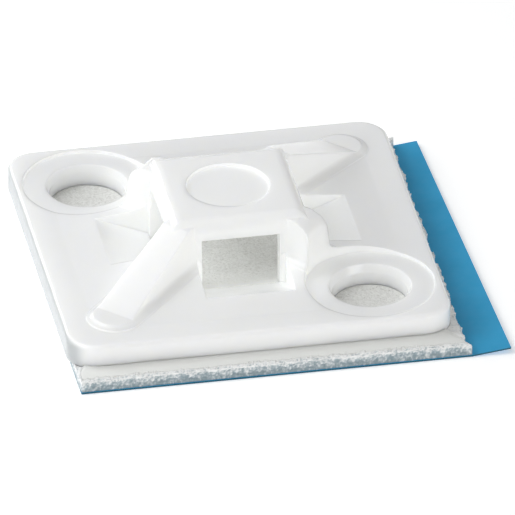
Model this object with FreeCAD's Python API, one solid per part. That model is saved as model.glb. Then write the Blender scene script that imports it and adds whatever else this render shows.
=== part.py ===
import FreeCAD, Part
import math
import os

# Four-way adhesive mount for cable ties, in millimetres.
# Origin: centre of the moulding's plan, on the underside of the release liner. +Z is up.
# Layers from below: release liner, foam pad, one-piece nylon moulding.

Vector = FreeCAD.Vector
UP = Vector(0, 0, 1)
CUTTER_TOP = 20.0

# Release liner
liner_thickness = 0.12
liner_margin_left = 0.05
liner_margin_front = 0.05
liner_margin_back = 0.15
tab_reach_front = 2.85
tab_reach_back = 1.75
tab_lift = 0.34

# Foam pad
foam_thickness = 0.86
foam_width = 28.4
foam_depth = 29.8
foam_shift_x = 0.7
foam_shift_y = -0.7

# Plate of the moulding
plate_width = 28.0
plate_thickness = 1.8
plate_corner_radius = 2.2
plate_edge_round = 0.35
border_width = 2.25
dome_rise = 0.7

# Hub, the raised bridge that the tie passes under
hub_width = 10.5
hub_height = 5.83
hub_wall = 1.15
hub_draft_degrees = 2.0
hub_edge_round = 0.95
roof_thickness = 1.45
dimple_radius = 3.03
dimple_depth = 0.25

# Windows in the hub's four walls, and the ramp in front of each
window_width = 5.7
ramp_width = 6.5
ramp_edge_gap = 4.8
ramp_lip_height = 0.45

# Diagonal ribs
rib_width = 2.9
rib_draft_degrees = 8.0
rib_corner_gap = 5.5
rib_top_start = 6.6
rib_top_drop = 0.36
rib_end_height = 2.1
rib_foot_round = 0.6
rib_foot_sink = 0.1
cut_rib_round = 1.0

# Screw holes in two opposite corners
hole_edge_gap = 5.25
bore_radius = 2.75
bore_length = 1.0
countersink_radius = 3.0
spotface_radius = 4.7
spotface_depth = 0.2

# Heights and places that follow from the sizes above
foam_base = liner_thickness
body_base = foam_base + foam_thickness
plate_top = body_base + plate_thickness
dome_top = plate_top + dome_rise
hub_top = body_base + hub_height
window_top = hub_top - roof_thickness
spotface_floor = plate_top - spotface_depth
plate_half = 0.5 * plate_width
hub_half = 0.5 * hub_width
cavity_half = hub_half - hub_wall
dome_half = plate_half - border_width
dome_slope = dome_rise / (dome_half - hub_half)
ridge_slope = dome_slope / math.sqrt(2)
ramp_reach = plate_half - ramp_edge_gap
rib_reach = plate_half * math.sqrt(2) - rib_corner_gap
hole_offset = plate_half - hole_edge_gap
hole_distance = hole_offset * math.sqrt(2)


def rounded_rectangle(x_low, x_high, y_low, y_high, radius, z):
    """Flat face with four rounded corners."""
    cut = radius * (1 - math.sqrt(0.5))
    edges = []
    edges.append(Part.LineSegment(Vector(x_low + radius, y_low, z), Vector(x_high - radius, y_low, z)))
    edges.append(Part.Arc(Vector(x_high - radius, y_low, z), Vector(x_high - cut, y_low + cut, z),
                          Vector(x_high, y_low + radius, z)))
    edges.append(Part.LineSegment(Vector(x_high, y_low + radius, z), Vector(x_high, y_high - radius, z)))
    edges.append(Part.Arc(Vector(x_high, y_high - radius, z), Vector(x_high - cut, y_high - cut, z),
                          Vector(x_high - radius, y_high, z)))
    edges.append(Part.LineSegment(Vector(x_high - radius, y_high, z), Vector(x_low + radius, y_high, z)))
    edges.append(Part.Arc(Vector(x_low + radius, y_high, z), Vector(x_low + cut, y_high - cut, z),
                          Vector(x_low, y_high - radius, z)))
    edges.append(Part.LineSegment(Vector(x_low, y_high - radius, z), Vector(x_low, y_low + radius, z)))
    edges.append(Part.Arc(Vector(x_low, y_low + radius, z), Vector(x_low + cut, y_low + cut, z),
                          Vector(x_low + radius, y_low, z)))
    return Part.Face(Part.Wire([edge.toShape() for edge in edges]))


def square_outline(half, z):
    """Closed square wire about the Z axis."""
    corners = [Vector(-half, -half, z), Vector(half, -half, z), Vector(half, half, z), Vector(-half, half, z)]
    return Part.makePolygon(corners + corners[:1])


def square_frustum(half_low, half_high, z_low, z_high):
    """Four-sided frustum between two squares."""
    return Part.makeLoft([square_outline(half_low, z_low), square_outline(half_high, z_high)], True, True)


def prism(profile, depth):
    """Solid from a profile of (x, z) points, centred on the XZ plane."""
    points = [Vector(x, -0.5 * depth, z) for x, z in profile]
    return Part.Face(Part.makePolygon(points + points[:1])).extrude(Vector(0, depth, 0))


def turned(shape, degrees):
    """Copy of a shape, turned about the Z axis."""
    copy = shape.copy()
    copy.rotate(Vector(0, 0, 0), UP, degrees)
    return copy


def edges_at(shape, test):
    """Edges whose sample points all pass a test."""
    chosen = []
    for edge in shape.Edges:
        first, last = edge.ParameterRange
        samples = [edge.valueAt(first + (last - first) * share) for share in (0.0, 0.3, 0.5, 0.7, 1.0)]
        if all(test(point) for point in samples):
            chosen.append(edge)
    return chosen


def make_plate():
    """Square plate with rounded corners, and the low dome that rises from its border to the hub."""
    face = rounded_rectangle(-plate_half, plate_half, -plate_half, plate_half, plate_corner_radius, body_base)
    slab = face.extrude(Vector(0, 0, plate_thickness))
    rim = edges_at(slab, lambda point: abs(point.z - plate_top) < 0.001)
    slab = slab.makeFillet(plate_edge_round, rim)
    dome = square_frustum(dome_half, hub_half, plate_top, dome_top)
    return slab.fuse(dome)


def make_hub():
    """Drafted square tower with a rounded top edge."""
    lean = hub_height * math.tan(math.radians(hub_draft_degrees))
    tower = square_frustum(hub_half, hub_half - lean, body_base, hub_top)
    brim = edges_at(tower, lambda point: abs(point.z - hub_top) < 0.001)
    return tower.makeFillet(hub_edge_round, brim)


def rib_half_section(x, z):
    """Half of a rib's section across its length: middle, drafted side and flared foot, as one face."""
    tilt = math.radians(rib_draft_degrees)
    swing = 0.5 * (math.pi / 2 - tilt)
    half = 0.5 * rib_width
    centre_y = half + rib_foot_round * math.cos(tilt)
    centre_z = z + rib_foot_round
    touch = Vector(x, half, centre_z - rib_foot_round * math.sin(tilt))
    middle = Vector(x, centre_y - rib_foot_round * math.cos(tilt + swing),
                    centre_z - rib_foot_round * math.sin(tilt + swing))
    toe = Vector(x, centre_y, z)
    crown_z = z + hub_height
    crown = Vector(x, half - (crown_z - touch.z) * math.tan(tilt), crown_z)
    floor = body_base
    lines = [Part.LineSegment(Vector(x, 0, floor), Vector(x, 0, crown_z)),
             Part.LineSegment(Vector(x, 0, crown_z), crown),
             Part.LineSegment(crown, touch),
             Part.Arc(touch, middle, toe),
             Part.LineSegment(toe, Vector(x, centre_y, floor)),
             Part.LineSegment(Vector(x, centre_y, floor), Vector(x, 0, floor))]
    return Part.Face(Part.Wire([line.toShape() for line in lines]))


def rib_top(x):
    """Height of a full rib's top: level beside the hub, sloping down, then level past its end."""
    share = min(max((x - rib_top_start) / (rib_reach - rib_top_start), 0), 1)
    return (1 - share) * (hub_top - rib_top_drop) + share * (body_base + rib_end_height)


def make_rib():
    """Rib along +X: drafted sides, flared foot, round outer end, and a top that slopes down from the hub."""
    ridge_start = dome_top + ridge_slope * hub_half * math.sqrt(2) - rib_foot_sink
    fall = ridge_slope * rib_reach
    half_bar = rib_half_section(0, ridge_start).extrude(Vector(rib_reach, 0, -fall))
    other_half = half_bar.mirror(Vector(0, 0, 0), Vector(0, 1, 0))
    axis_point = Vector(rib_reach, 0, 0)
    end = rib_half_section(rib_reach, ridge_start - fall).revolve(axis_point, UP, -180)
    bar = half_bar.fuse([other_half, end])
    far_x = rib_reach + 2 * rib_width
    above = [(x, rib_top(x)) for x in (-rib_width, rib_top_start, rib_reach, far_x)]
    above += [(far_x, CUTTER_TOP), (-rib_width, CUTTER_TOP)]
    below = [(-rib_width, -CUTTER_TOP), (far_x, -CUTTER_TOP), (far_x, body_base), (-rib_width, body_base)]
    return bar.cut([prism(above, hub_width), prism(below, hub_width)]).removeSplitter()


def make_cut_rib():
    """Rib that stops at the spotface of a screw hole, with a rounded upper end."""
    clearance = Part.makeCylinder(spotface_radius, CUTTER_TOP, Vector(hole_distance, 0, spotface_floor))
    beyond = Part.makeBox(plate_width, hub_width, CUTTER_TOP, Vector(hole_distance, -hub_half, 0))
    stub = make_rib().cut(clearance.fuse(beyond))
    brow = edges_at(stub, lambda point: abs(point.z - rib_top(point.x)) < 0.001
                    and abs(math.hypot(point.x - hole_distance, point.y) - spotface_radius) < 0.001)
    return stub.makeFillet(cut_rib_round, brow)


def make_screw_hole():
    """Cutter for a spotface, a short countersink and a straight bore, at the origin's axis."""
    spotface = Part.makeCylinder(spotface_radius, CUTTER_TOP, Vector(0, 0, spotface_floor))
    cone_base = body_base + bore_length
    cone = Part.makeCone(bore_radius, countersink_radius, spotface_floor - cone_base, Vector(0, 0, cone_base))
    bore = Part.makeCylinder(bore_radius, CUTTER_TOP, Vector(0, 0, 0))
    return spotface.fuse([cone, bore])


def make_way_in():
    """Cutter for the way in from +X: a window open down to the foam, and the ramp in front of it."""
    corner = Vector(0, -0.5 * window_width, body_base)
    window = Part.makeBox(hub_half, window_width, window_top - body_base, corner)
    end_z = plate_top + dome_slope * (dome_half - ramp_reach)
    profile = [(hub_half, body_base + ramp_lip_height), (ramp_reach, end_z),
               (ramp_reach, window_top), (hub_half, window_top)]
    return window.fuse(prism(profile, ramp_width))


def make_body():
    """Nylon moulding: plate, dome, hub, two full ribs and two cut ribs, less every opening."""
    body = make_plate().fuse(make_hub())
    for angle in (45, 225):
        body = body.fuse(turned(make_rib(), angle))
    for angle in (135, 315):
        body = body.fuse(turned(make_cut_rib(), angle))
    body = body.removeSplitter()
    cavity = Part.makeBox(2 * cavity_half, 2 * cavity_half, window_top - body_base,
                          Vector(-cavity_half, -cavity_half, body_base))
    body = body.cut(cavity)
    for angle in (0, 90, 180, 270):
        body = body.cut(turned(make_way_in(), angle))
    for side in (-1, 1):
        hole = make_screw_hole()
        hole.translate(Vector(side * hole_offset, -side * hole_offset, 0))
        body = body.cut(hole)
    dimple = Part.makeCylinder(dimple_radius, dimple_depth, Vector(0, 0, hub_top - dimple_depth))
    return body.cut(dimple).removeSplitter()


def make_foam():
    """Foam pad, cut a little larger than the plate and stuck on slightly off centre."""
    x_low = foam_shift_x - 0.5 * foam_width
    y_low = foam_shift_y - 0.5 * foam_depth
    return Part.makeBox(foam_width, foam_depth, foam_thickness, Vector(x_low, y_low, foam_base))


def make_liner():
    """Release liner with a pull tab past the foam's right edge, bent up a little."""
    x_low = foam_shift_x - 0.5 * foam_width - liner_margin_left
    x_fold = foam_shift_x + 0.5 * foam_width
    y_low = foam_shift_y - 0.5 * foam_depth - liner_margin_front
    y_high = foam_shift_y + 0.5 * foam_depth + liner_margin_back
    reach = max(tab_reach_front, tab_reach_back)
    side = [(x_low, 0), (x_fold, 0), (x_fold + reach, tab_lift), (x_fold + reach, tab_lift + liner_thickness),
            (x_fold, liner_thickness), (x_low, liner_thickness)]
    sheet = prism(side, y_high - y_low)
    sheet.translate(Vector(0, 0.5 * (y_low + y_high), 0))
    skew = [Vector(x_low, y_low, -1), Vector(x_fold + tab_reach_front, y_low, -1),
            Vector(x_fold + tab_reach_back, y_high, -1), Vector(x_low, y_high, -1)]
    outline = Part.Face(Part.makePolygon(skew + skew[:1])).extrude(UP * CUTTER_TOP)
    return sheet.common(outline)


def main():
    os.makedirs("parts", exist_ok=True)
    pieces = {"mount_body": make_body(), "foam_pad": make_foam(), "release_liner": make_liner()}
    for name, shape in pieces.items():
        print(name, "valid", shape.isValid(), "solids", len(shape.Solids), "volume", round(shape.Volume, 2))
        shape.exportStep("parts/" + name + ".step")


main()
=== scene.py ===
import math
from collections import namedtuple

import bpy
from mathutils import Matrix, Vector, noise


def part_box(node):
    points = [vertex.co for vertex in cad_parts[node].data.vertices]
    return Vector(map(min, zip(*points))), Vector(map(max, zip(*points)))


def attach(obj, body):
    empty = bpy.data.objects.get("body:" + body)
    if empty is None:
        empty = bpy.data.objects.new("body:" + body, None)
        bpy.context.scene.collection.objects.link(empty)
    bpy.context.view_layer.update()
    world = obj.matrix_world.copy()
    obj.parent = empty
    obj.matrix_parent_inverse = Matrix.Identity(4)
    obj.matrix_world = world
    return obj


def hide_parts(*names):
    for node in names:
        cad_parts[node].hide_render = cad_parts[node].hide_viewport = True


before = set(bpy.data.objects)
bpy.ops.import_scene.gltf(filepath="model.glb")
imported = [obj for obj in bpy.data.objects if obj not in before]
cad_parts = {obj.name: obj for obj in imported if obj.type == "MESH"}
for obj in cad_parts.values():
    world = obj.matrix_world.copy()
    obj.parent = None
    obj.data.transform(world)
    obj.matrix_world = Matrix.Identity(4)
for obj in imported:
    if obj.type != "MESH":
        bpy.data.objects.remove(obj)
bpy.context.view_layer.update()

MM = 0.001
PHOTO_SIZE = 515

# Camera, fitted to the moulding's edges in the photograph
camera_azimuth = math.radians(-10.593)
camera_elevation = math.radians(30.958)
camera_distance = 1.53402
focal_pixels = 21250.0
origin_u = 227.97
origin_v = 265.81
sensor_width = 36.0
near_clip = 0.1
far_clip = 20.0

# Soft lights that point at the object: name, place, width, power and colour
cool = (0.97, 0.99, 1.0)
cool_above = (0.98, 0.99, 1.0)
white = (1.0, 1.0, 1.0)
warm = (1.0, 1.0, 0.98)
lights = (
    ("key", (-0.085, -0.005, 0.095), 0.07, 0.046, cool),
    ("above", (-0.05, 0.0, 0.14), 0.08, 0.020, cool_above),
    ("left", (-0.28, 0.10, 0.14), 0.24, 0.28, cool),
    ("left_high", (-0.20, 0.03, 0.22), 0.20, 0.07, cool),
    ("back_high", (-0.08, 0.16, 0.28), 0.20, 0.075, white),
    ("rim", (-0.13, 0.27, 0.12), 0.055, 0.09, white),
    ("fill", (0.20, -0.31, 0.09), 0.24, 0.54, warm),
)
room_light = 0.30

# Floor
floor_reach = 2.0
floor_gap = 0.02 * MM
floor_grey = 0.90
floor_glow = 0.31

# Nylon
nylon_clear = (0.975, 0.980, 0.968)
nylon_cloudy = (0.960, 0.968, 0.950)
# Painted shade on the plate's left wall, from and to these distances inside its left edge
left_wall_painted_shade = (0.48, 0.50, 0.51)
left_shade_from = 2.4 * MM
left_shade_to = 0.3 * MM
moulding_edge_radius = 0.16 * MM
glow_reach = 6.0 * MM
recess_glow = 0.18

# Foam, with its pores dark to pale in the open and again on the sill of the front window, where painted light
# makes both pores and cells paler
foam_pore = (0.46, 0.45, 0.42)
foam_cell = (0.84, 0.84, 0.82)
sill_pore_painted_light = (0.84, 0.84, 0.81)
sill_cell_painted_light = (0.96, 0.96, 0.94)
edge_crumb = (0.93, 0.93, 0.92)
# Colour of the dark pores, which also carries painted shade near the liner and on the side shelves
edge_pore_and_shade = (0.34, 0.42, 0.46)
shelf_skin = (0.80, 0.805, 0.785)
sill_front = -5.0 * MM
sill_back = -1.5 * MM
sill_half = 4.2 * MM
sill_half_end = 5.4 * MM
foam_glow = 0.12

# Release liner
liner_blue = (0.031, 0.345, 0.620)
liner_streak = (0.037, 0.375, 0.665)
# Painted shade for the film's cut edge
liner_edge_painted_shade = (0.010, 0.090, 0.140)

# Foam pad's walls: the distance between points, the rings up a wall, and how torn the front, right, back
# and left sides are. The left side isn't torn, but squeezed out over the liner
foam_step = 0.07 * MM
foam_layers = 11
side_tear = (0.3, 1.0, 0.3, 0.0)
foam_overhang = 0.09 * MM
# The tear fades out over one part in so many of a side's length, at both of its corners
corner_fade = 40
# The rim is worn from this share of the height up, and the tear is eased below that one, down to the least
rim_wear = 0.16 * MM
rim_from = 0.6
foot_to = 0.25
least_ease = 0.1
least_ease_torn = 0.6

# Torn wall, in millimetres: the rate and depth of its wide waves and its flakes, and the height of its crumbs
least_tear = 0.03
wide_rate = 0.22
wide_depth = 0.30
flake_rate = 0.85
flake_depth = 0.38
crumb_height = 0.06

# Pits of the wall, from 0 on a crumb to 1 in a dark pore: deeper near the liner, where painted shade darkens
# them, and shallower at the rim
wall_pit = 0.38
wall_pit_relief = 0.50
foot_painted_shade = 0.50
rim_pit = 0.30

# Waves of the crumbs: how many to the millimetre, where they start, and their weight
crumb_waves = (
    (2.6, (0, 0, 0), 0.6),
    (6.5, (3.1, 0, 9.7), 1.1),
    (11.0, (0, 5.3, 1.9), 0.8),
)

# Foam's shelf beside the plate
plate_corner_radius = 2.2 * MM
plate_clearance = 0.01 * MM
shelf_shares = (0.05, 0.12, 0.2, 0.3, 0.4, 0.5, 0.6, 0.7, 0.8, 0.88, 0.95, 1.0)
shelf_climb = 0.30 * MM
steepest_climb = 0.65
front_blend = 0.9 * MM
tuck_under = 0.2 * MM
shelf_edge_from = 0.05 * MM
shelf_edge_to = 0.45 * MM
shelf_pit = 0.30
shelf_pit_relief = 0.6
side_wear = 0.5
# Pits on the side shelves, which also carry painted shade
side_pits_and_shade = 0.6
skin_ragged = 0.2
skin_from_mm = 0.15
skin_to_mm = 0.45

OutlinePoint = namedtuple("OutlinePoint", "place inward torn fade")
FoamPoint = namedtuple("FoamPoint", "x y z pit wall skin")


def add_object(name, data):
    """New object in the scene."""
    made = bpy.data.objects.new(name, data)
    bpy.context.scene.collection.objects.link(made)
    return made


class Shader:
    """A small helper that adds and links the nodes of one procedural material."""

    def __init__(self, name):
        self.material = bpy.data.materials.new(name)
        self.material.use_nodes = True
        self.nodes = self.material.node_tree.nodes
        self.surface = self.nodes["Principled BSDF"]
        coordinates = self.nodes.new("ShaderNodeTexCoord")
        self.place = coordinates.outputs["Object"]
        self.direction = coordinates.outputs["Normal"]

    def link(self, source, target):
        self.material.node_tree.links.new(source, target)

    def drive(self, socket, source):
        """Output into one of the surface's own sockets."""
        self.link(source, self.surface.inputs[socket])

    def set(self, **values):
        """Plain values on the surface's own sockets."""
        for name, value in values.items():
            self.surface.inputs[name.replace("_", " ")].default_value = value

    def noise(self, per_mm, detail, roughness=0.5):
        """Fractal noise with so many features to the millimetre."""
        node = self.nodes.new("ShaderNodeTexNoise")
        node.inputs["Scale"].default_value = per_mm / MM
        node.inputs["Detail"].default_value = detail
        node.inputs["Roughness"].default_value = roughness
        self.link(self.place, node.inputs["Vector"])
        return node.outputs["Fac"]

    def cells(self, per_mm):
        """Distance from the middle of scattered cells."""
        node = self.nodes.new("ShaderNodeTexVoronoi")
        node.inputs["Scale"].default_value = per_mm / MM
        self.link(self.place, node.inputs["Vector"])
        return node.outputs["Distance"]

    def axis_of(self, vector, axis):
        """One axis of a vector output."""
        node = self.nodes.new("ShaderNodeSeparateXYZ")
        self.link(vector, node.inputs["Vector"])
        return node.outputs[axis]

    def coordinate(self, axis):
        """One coordinate of the place on the object, in metres."""
        return self.axis_of(self.place, axis)

    def facing(self, axis):
        """How far the surface faces along an axis: 1 along it, -1 against it, 0 across it."""
        return self.axis_of(self.direction, axis)

    def attribute(self, name):
        """Value stored on the mesh under a name."""
        node = self.nodes.new("ShaderNodeAttribute")
        node.attribute_name = name
        return node.outputs["Fac"]

    def remap(self, source, low, high, new_low=0.0, new_high=1.0, smooth=True):
        """Source from low to high, as new_low to new_high."""
        node = self.nodes.new("ShaderNodeMapRange")
        node.interpolation_type = "SMOOTHSTEP" if smooth else "LINEAR"
        values = {"From Min": low, "From Max": high, "To Min": new_low, "To Max": new_high}
        for name, value in values.items():
            node.inputs[name].default_value = value
        self.link(source, node.inputs["Value"])
        return node.outputs["Result"]

    def combine(self, operation, first, second=0.0):
        """Arithmetic on outputs and numbers."""
        node = self.nodes.new("ShaderNodeMath")
        node.operation = operation
        for socket, value in zip(node.inputs, (first, second)):
            if isinstance(value, (int, float)):
                socket.default_value = value
            else:
                self.link(value, socket)
        return node.outputs["Value"]

    def mix(self, factor, first, second):
        """Colour between two colours or outputs."""
        node = self.nodes.new("ShaderNodeMix")
        node.data_type = "RGBA"
        self.link(factor, node.inputs["Factor"])
        for name, value in (("A", first), ("B", second)):
            socket = next(s for s in node.inputs if s.name == name and s.type == "RGBA")
            if isinstance(value, tuple):
                socket.default_value = (*value, 1.0)
            else:
                self.link(value, socket)
        return next(s for s in node.outputs if s.type == "RGBA")

    def eased_edges(self, radius):
        """Normal that rounds sharp edges by a small radius."""
        node = self.nodes.new("ShaderNodeBevel")
        node.samples = 8
        node.inputs["Radius"].default_value = radius
        return node.outputs["Normal"]

    def openness(self, reach):
        """How open the surface is to the room, from 0 in a deep recess to 1 on an open face."""
        node = self.nodes.new("ShaderNodeAmbientOcclusion")
        node.only_local = True
        node.samples = 8
        node.inputs["Distance"].default_value = reach
        return node.outputs["AO"]

    def bump(self, height, depth_mm, strength, normal=None):
        """Surface relief from a height output."""
        node = self.nodes.new("ShaderNodeBump")
        node.inputs["Distance"].default_value = depth_mm * MM
        node.inputs["Strength"].default_value = strength
        self.link(height, node.inputs["Height"])
        if normal is not None:
            self.link(normal, node.inputs["Normal"])
        return node.outputs["Normal"]


def nylon_material():
    """Natural nylon: milky, light passes a few millimetres in, with a smooth moulded skin."""
    shader = Shader("natural_nylon")
    shader.set(
        Subsurface_Weight=1.0,
        Subsurface_Radius=(1.0, 0.98, 0.90),
        Subsurface_Scale=1.3 * MM,
        IOR=1.53,
        Specular_IOR_Level=0.5,
        Emission_Color=(0.98, 1.0, 0.99, 1.0),
    )
    clouds = shader.remap(shader.noise(0.16, detail=2.0), 0.3, 0.7)
    colour = shader.mix(clouds, nylon_clear, nylon_cloudy)
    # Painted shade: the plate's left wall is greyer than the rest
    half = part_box("mount_body")[1].x
    left_part = shader.remap(shader.coordinate("X"), left_shade_from - half, left_shade_to - half)
    leftward = shader.remap(shader.facing("X"), -0.25, -0.95)
    left_wall_shade_mask = shader.combine("MULTIPLY", left_part, leftward)
    shader.drive("Base Color", shader.mix(left_wall_shade_mask, colour, left_wall_painted_shade))
    # Stands in for the light that comes through the thin walls of a recess
    glow = shader.remap(shader.openness(glow_reach), 0.35, 1.0, recess_glow, 0.0, smooth=False)
    shader.drive("Emission Strength", glow)
    shader.drive("Roughness", shader.remap(shader.noise(0.5, detail=1.0), 0.3, 0.7, 0.15, 0.20))
    edges = shader.eased_edges(moulding_edge_radius)
    waves = shader.bump(shader.noise(0.30, detail=1.0), 0.03, 0.3, normal=edges)
    shader.drive("Normal", shader.bump(shader.noise(4.0, detail=2.0), 0.0015, 0.3, normal=waves))
    return shader.material


def foam_material():
    """White closed-cell foam: torn cells over darker pores, and a smooth adhesive skin beside the plate."""
    shader = Shader("white_foam")
    shader.set(
        Subsurface_Weight=0.6,
        Subsurface_Radius=(1.0, 1.0, 1.0),
        Subsurface_Scale=0.3 * MM,
        Emission_Color=(0.98, 1.0, 0.98, 1.0),
        Roughness=0.8,
        Specular_IOR_Level=0.3,
    )
    fine = shader.remap(shader.cells(6.5), 0.05, 0.42, 0.55, 1.0)
    coarse = shader.remap(shader.cells(3.2), 0.05, 0.3, 0.4, 1.0)
    pores = shader.combine("MINIMUM", fine, coarse)
    patches = shader.remap(shader.noise(1.1, detail=3.0), 0.35, 0.65, 0.25, 1.0)
    grain = shader.remap(shader.noise(5.5, detail=3.0, roughness=0.7), 0.35, 0.65, 0.70, 1.0)
    depth = shader.combine("MULTIPLY", shader.combine("MAXIMUM", pores, patches), grain)
    side_of_middle = shader.combine("ABSOLUTE", shader.coordinate("X"))
    in_window = shader.remap(side_of_middle, sill_half, sill_half_end, 1.0, 0.0)
    near = shader.remap(shader.coordinate("Y"), sill_front, sill_back, 1.0, 0.0)
    lit_sill = shader.combine("MULTIPLY", near, in_window)
    # Stands in for the light that comes through the nylon onto the foam under the bridge
    under = shader.remap(shader.attribute("wall"), 0.0, 0.4, 1.0, 0.0)
    glow = shader.combine("MULTIPLY", shader.combine("MULTIPLY", lit_sill, under), foam_glow)
    shader.drive("Emission Strength", glow)
    # Painted light: paler pores and cells on the sill of the front window
    dark = shader.mix(lit_sill, foam_pore, sill_pore_painted_light)
    pale = shader.mix(lit_sill, foam_cell, sill_cell_painted_light)
    inside = shader.mix(depth, dark, pale)
    # Dark pores, with painted shade near the liner and on the side shelves
    pit = shader.remap(shader.attribute("pit"), 0.0, 1.0)
    edge = shader.mix(pit, edge_crumb, edge_pore_and_shade)
    wall = shader.remap(shader.attribute("wall"), 0.2, 0.8)
    rough = shader.mix(wall, inside, edge)
    skin = shader.remap(shader.attribute("skin"), 0.2, 0.8)
    shader.drive("Base Color", shader.mix(skin, rough, shelf_skin))
    bare = shader.combine("SUBTRACT", 1.0, skin)
    relief = shader.combine("MULTIPLY", shader.noise(3.0, detail=5.0, roughness=0.65), bare)
    crumbs = shader.bump(relief, 0.10, 0.8)
    holes = shader.combine("MULTIPLY", pores, bare)
    shader.drive("Normal", shader.bump(holes, 0.06, 0.8, normal=crumbs))
    return shader.material


def liner_material():
    """Blue release film: smooth, with faint waves in its sheen and painted shade on its cut edge."""
    shader = Shader("blue_release_film")
    shader.set(IOR=1.45, Specular_IOR_Level=0.4)
    streaks = shader.remap(shader.noise(0.25, detail=2.0), 0.35, 0.65)
    colour = shader.mix(streaks, liner_blue, liner_streak)
    flat = shader.remap(shader.combine("ABSOLUTE", shader.facing("Z")), 0.2, 0.6)
    # Painted shade: the film's upright cut edge is darker
    shader.drive("Base Color", shader.mix(flat, liner_edge_painted_shade, colour))
    shader.drive("Roughness", shader.remap(shader.noise(1.5, detail=3.0), 0.3, 0.7, 0.42, 0.55))
    shader.drive("Normal", shader.bump(shader.noise(0.2, detail=1.0), 0.05, 0.4))
    return shader.material


def dress(node, material):
    """A CAD piece whose shape is right keeps it and gets its procedural finish."""
    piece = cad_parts[node]
    piece.data.materials.clear()
    piece.data.materials.append(material)


def clamp(value, low=0.0, high=1.0):
    return min(max(value, low), high)


def smooth_step(value, low, high):
    """0 below low, 1 above high, and smooth between."""
    share = clamp((value - low) / (high - low))
    return share * share * (3 - 2 * share)


def foam_outline(low, high):
    """Points round the pad: place, inward direction, how torn the side is, and a fade at its two ends."""
    corners = [(low.x, low.y), (high.x, low.y), (high.x, high.y), (low.x, high.y)]
    inward = [(0, 1), (-1, 0), (0, -1), (1, 0)]
    points = []
    for side in range(4):
        start, end = Vector(corners[side]), Vector(corners[(side + 1) % 4])
        count = round((end - start).length / foam_step)
        for step in range(count):
            share = step / count
            fade = min(1.0, share * corner_fade, (1 - share) * corner_fade)
            place = start + (end - start) * share
            points.append(OutlinePoint(place, Vector(inward[side]), side_tear[side], fade))
    return points


def torn_depth(place, torn):
    """How far the foam's wall stands back at a place, in millimetres, before its crumbs."""
    flat = Vector((place.x, place.y, 0))
    wide = 0.5 + 0.5 * noise.noise(flat * wide_rate + Vector((7.3, 1.1, 0)))
    flakes = abs(noise.noise(flat * flake_rate + Vector((0, 3.7, 0))))
    return least_tear + torn * (wide_depth * wide + flake_depth * flakes)


def crumb_relief(x, y, z):
    """Torn cells of the cut wall, about -1 in a pore to 1 on a crumb."""
    place = Vector((x, y, z)) / MM
    relief = 0.0
    for rate, start, weight in crumb_waves:
        relief += weight * noise.noise(place * rate + Vector(start))
    return clamp(relief, -1.0, 1.0)


def plate_edge_point(point, half):
    """Nearest place on the plate's outline to a point beside it, or None under the plate."""
    core = half - plate_corner_radius
    centre = Vector((clamp(point.x, -core, core), clamp(point.y, -core, core)))
    away = point - centre
    if away.length <= plate_corner_radius:
        return None
    return centre + away * ((plate_corner_radius + plate_clearance) / away.length)


def wall_ring(outline, low, high, share):
    """Points round the torn wall at one height, from share 0 at the liner to 1 at the rim."""
    level = low.z + (high.z - low.z) * share
    upper = smooth_step(share, rim_from, 1.0)
    ring = []
    for point in outline:
        relief = crumb_relief(point.place.x, point.place.y, level)
        worn = rim_wear * upper * (0.5 - 0.5 * relief)
        if point.torn == 0:
            depth = -foam_overhang * point.fade / MM
            sag = foam_overhang * point.fade * (1 - share)
        else:
            ease = max(smooth_step(share, 0.0, foot_to), least_ease if point.torn < 1 else least_ease_torn)
            tear = torn_depth(point.place / MM, point.torn) + crumb_height - crumb_height * relief
            depth = max(0.0, tear) * point.fade * ease
            sag = 0.0
        place = point.place + point.inward * depth * MM
        # Pits are real pores, deepened by painted shade towards the liner
        pit = clamp(wall_pit - wall_pit_relief * relief + foot_painted_shade * (1 - share) - rim_pit * upper)
        ring.append(FoamPoint(place.x, place.y, level - sag - worn, pit, 1.0, 0.0))
    return ring


def shelf_ring(outline, rim, top, half, share):
    """Points round the shelf, from share 0 at the worn rim to 1 at the plate, which it climbs in front."""
    ring = []
    for point, rim_point in zip(outline, rim):
        start = Vector((rim_point.x, rim_point.y))
        front = smooth_step(-start.y, half, half + front_blend)
        end = plate_edge_point(start, half)
        meets_plate = end is not None
        if not meets_plate:
            end = start + point.inward * tuck_under
        span = (end - start).length
        climb = 0.0
        if meets_plate:
            climb = front * min(shelf_climb, steepest_climb * span) * (1 - math.sqrt(1 - share ** 4 * 0.98))
        place = start + (end - start) * share
        relief = crumb_relief(place.x, place.y, top)
        edge = 1 - smooth_step(share * span, shelf_edge_from, shelf_edge_to)
        worn = rim_wear * (0.5 - 0.5 * relief) * max(edge, side_wear * (1 - front) * (1 - share))
        # On the side shelves the pits also carry painted shade
        pit = clamp(shelf_pit - shelf_pit_relief * relief) * max(edge, side_pits_and_shade * (1 - front))
        skin = front * smooth_step(share * span / MM + skin_ragged * relief, skin_from_mm, skin_to_mm)
        ring.append(FoamPoint(place.x, place.y, top - worn + climb, pit, 1.0, skin))
    return ring


def ring_faces(rings, around):
    """Faces between rings of points, with one flat face over the first ring and one over the last."""
    faces = []
    for index in range(rings - 1):
        for k in range(around):
            after = (k + 1) % around
            faces.append((index * around + k, index * around + after,
                          (index + 1) * around + after, (index + 1) * around + k))
    last = (rings - 1) * around
    faces.append(tuple(reversed(range(around))))
    faces.append(tuple(range(last, last + around)))
    return faces


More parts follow.
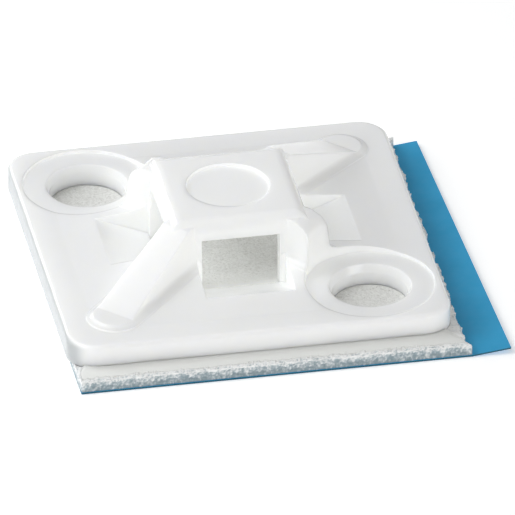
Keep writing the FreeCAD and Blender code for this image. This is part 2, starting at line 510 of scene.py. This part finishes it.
def make_foam():
    """The foam pad: torn sides, a ragged right edge, and a skin that turns up at the plate's front."""
    low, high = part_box("foam_pad")
    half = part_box("mount_body")[1].x
    outline = foam_outline(low, high)
    rings = [wall_ring(outline, low, high, layer / foam_layers) for layer in range(foam_layers + 1)]
    rim = rings[-1]
    rings += [shelf_ring(outline, rim, high.z, half, share) for share in shelf_shares]
    rings.append([FoamPoint(point.x, point.y, high.z, 0.0, 0.0, 0.0) for point in rings[-1]])
    points = [point for ring in rings for point in ring]

    mesh = bpy.data.meshes.new("foam_tape")
    mesh.from_pydata([point[:3] for point in points], [], ring_faces(len(rings), len(outline)))
    for name in ("pit", "wall", "skin"):
        values = [getattr(point, name) for point in points]
        mesh.attributes.new(name, "FLOAT", "POINT").data.foreach_set("value", values)
    mesh.validate()
    mesh.shade_smooth()
    piece = add_object("foam_tape", mesh)
    piece.data.materials.append(foam_material())
    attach(piece, "root")
    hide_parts("foam_pad")


def make_floor():
    """Plain pale floor under the object."""
    mesh = bpy.data.meshes.new("floor")
    corners = [(-floor_reach, -floor_reach, 0), (floor_reach, -floor_reach, 0),
               (floor_reach, floor_reach, 0), (-floor_reach, floor_reach, 0)]
    mesh.from_pydata(corners, [], [(0, 1, 2, 3)])
    floor = add_object("floor", mesh)
    floor.location.z = -floor_gap
    shader = Shader("pale_floor")
    shader.set(
        Base_Color=(floor_grey, floor_grey, floor_grey, 1.0),
        Roughness=0.9,
        Specular_IOR_Level=0.1,
        Emission_Color=(1.0, 1.0, 1.0, 1.0),
        Emission_Strength=floor_glow,
    )
    mesh.materials.append(shader.material)


def light_scene():
    """White room with soft lights from the left, above, the back and the front right."""
    for name, place, width, power, colour in lights:
        light = bpy.data.lights.new(name, "AREA")
        light.size = width
        light.energy = power
        light.color = colour
        lamp = add_object(name, light)
        lamp.location = place
        lamp.rotation_euler = (-Vector(place)).to_track_quat("-Z", "Y").to_euler()
        lamp.visible_camera = False
    world = bpy.data.worlds.new("white_room")
    world.use_nodes = True
    background = world.node_tree.nodes["Background"]
    background.inputs["Color"].default_value = (1.0, 1.0, 1.0, 1.0)
    background.inputs["Strength"].default_value = room_light
    bpy.context.scene.world = world
    bpy.context.scene.view_settings.view_transform = "Standard"


def place_camera():
    """Long lens at the photograph's viewing angle, aimed so that the origin falls on its pixel."""
    back = Vector((math.sin(camera_azimuth) * math.cos(camera_elevation),
                   -math.cos(camera_azimuth) * math.cos(camera_elevation), math.sin(camera_elevation)))
    turn = (-back).to_track_quat("-Z", "Y")
    right = turn @ Vector((1, 0, 0))
    up = turn @ Vector((0, 1, 0))
    metres_per_pixel = camera_distance / focal_pixels
    aim = (right * (PHOTO_SIZE / 2 - origin_u) + up * (origin_v - PHOTO_SIZE / 2)) * metres_per_pixel
    data = bpy.data.cameras.new("camera")
    data.sensor_width = sensor_width
    data.lens = focal_pixels * sensor_width / PHOTO_SIZE
    data.clip_start = near_clip
    data.clip_end = far_clip
    camera = add_object("camera", data)
    camera.location = aim + back * camera_distance
    camera.rotation_euler = turn.to_euler()
    bpy.context.scene.camera = camera


place_camera()
light_scene()
make_floor()
dress("mount_body", nylon_material())
dress("release_liner", liner_material())
make_foam()
